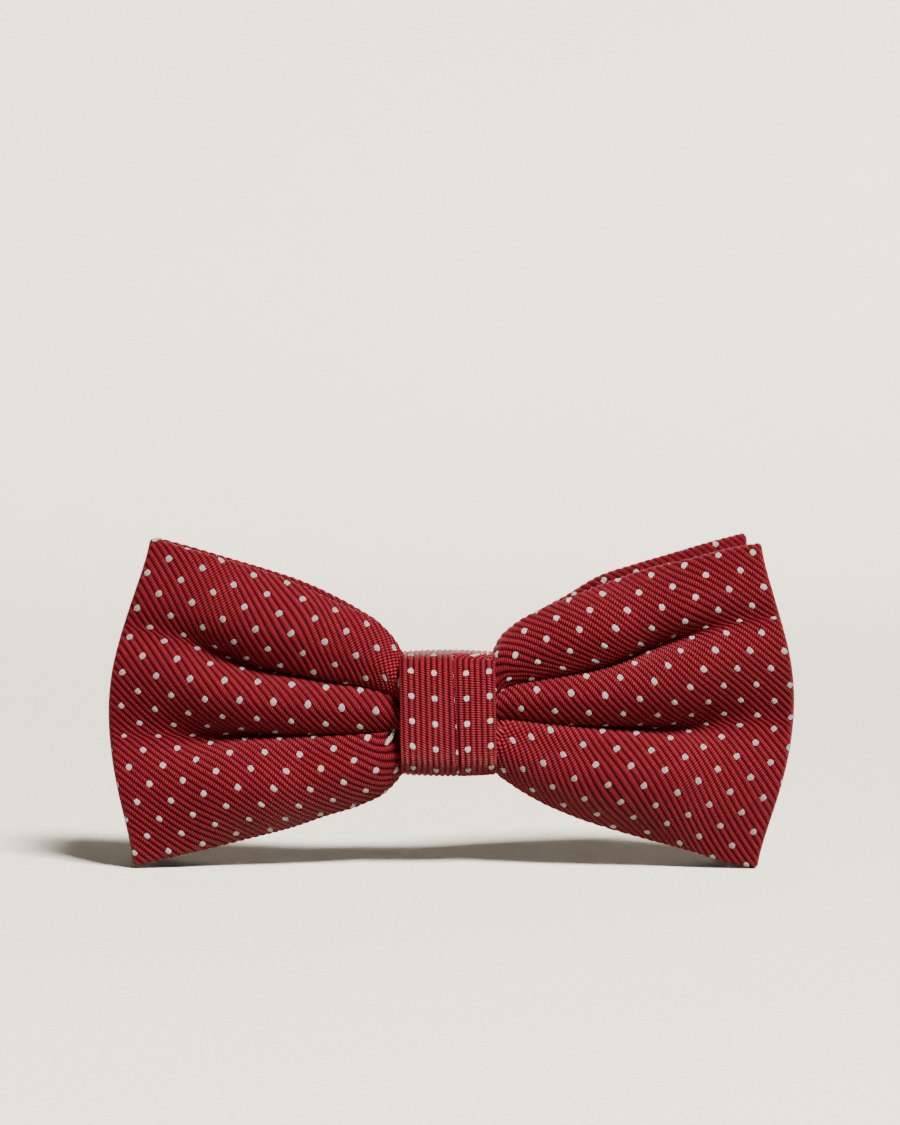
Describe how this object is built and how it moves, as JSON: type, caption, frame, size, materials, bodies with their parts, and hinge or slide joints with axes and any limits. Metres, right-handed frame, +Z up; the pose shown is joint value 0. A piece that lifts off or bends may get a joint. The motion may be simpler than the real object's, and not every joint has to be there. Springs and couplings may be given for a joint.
{
  "type": "bow tie",
  "caption": "Ready-tied bow tie: two stacked silk bows pinched by a pleated knot, with a folded neck strap, hook, eye and length slider behind.",
  "frame": {"origin": "on the surface that the bow stands on, under the middle of the whole object", "axes": "+X to the right seen from the front, the front faces -Y, +Z up"},
  "size_m": [0.1216, 0.0242, 0.0578],
  "materials": {
    "front_bow_shell": "red ribbed silk with small pale dots",
    "rear_bow_shell": "red ribbed silk with small pale dots",
    "knot_wrap": "red ribbed silk with small pale dots",
    "front_bow_interlining": "woven canvas",
    "rear_bow_interlining": "woven canvas",
    "knot_interlining": "woven canvas",
    "waist_binding_thread": "cotton thread",
    "knot_closing_stitches": "cotton thread",
    "strap_centre": "red ribbed silk ribbon",
    "left_strap": "red ribbed silk ribbon",
    "left_bar_tack": "cotton thread",
    "right_strap": "red ribbed silk ribbon",
    "right_strap_return": "red ribbed silk ribbon",
    "right_strap_end": "red ribbed silk ribbon",
    "right_bar_tack": "cotton thread",
    "left_hook": "nickel-plated wire",
    "right_eye": "nickel-plated wire",
    "right_slider": "nickel-plated wire"
  },
  "bodies": {
    "bow": {"front_bow_shell": "front_bow_shell", "front_bow_interlining": "front_bow_interlining", "rear_bow_shell": "rear_bow_shell", "rear_bow_interlining": "rear_bow_interlining", "waist_binding_thread": "waist_binding_thread", "knot_wrap": "knot_wrap", "knot_interlining": "knot_interlining", "knot_closing_stitches": "knot_closing_stitches", "strap_centre": "strap_centre"},
    "left_strap_side": {"left_strap": "left_strap", "left_bar_tack": "left_bar_tack"},
    "hook": {"left_hook": "left_hook"},
    "right_strap_side": {"right_strap": "right_strap", "right_strap_return": "right_strap_return"},
    "slider": {"right_slider": "right_slider", "right_strap_end": "right_strap_end", "right_bar_tack": "right_bar_tack"},
    "eye": {"right_eye": "right_eye"}
  },
  "joints": [
    {"name": "left_strap_swing", "type": "hinge", "parent": "bow", "child": "left_strap_side", "pos_m": [-0.0094, 0.0007, 0.02735], "axis": [0, 0, -1], "range_deg": [0, 75]},
    {"name": "right_strap_swing", "type": "hinge", "parent": "bow", "child": "right_strap_side", "pos_m": [0.0094, 0.0007, 0.02735], "axis": [0, 0, 1], "range_deg": [0, 75]},
    {"name": "hook_pivot", "type": "hinge", "parent": "left_strap_side", "child": "hook", "pos_m": [-0.0474, 0.00754, 0.02735], "axis": [0, 0, -1], "range_deg": [-8, 90]},
    {"name": "eye_pivot", "type": "hinge", "parent": "right_strap_side", "child": "eye", "pos_m": [0.04708, 0.01063, 0.02735], "axis": [0, 0, 1], "range_deg": [-15, 90]},
    {"name": "slider_slide", "type": "slide", "parent": "right_strap_side", "child": "slider", "axis": [0.9947, 0.1028, 0], "range_m": [0, 0.014], "deforming": ["right_strap_return"]}
  ]
}
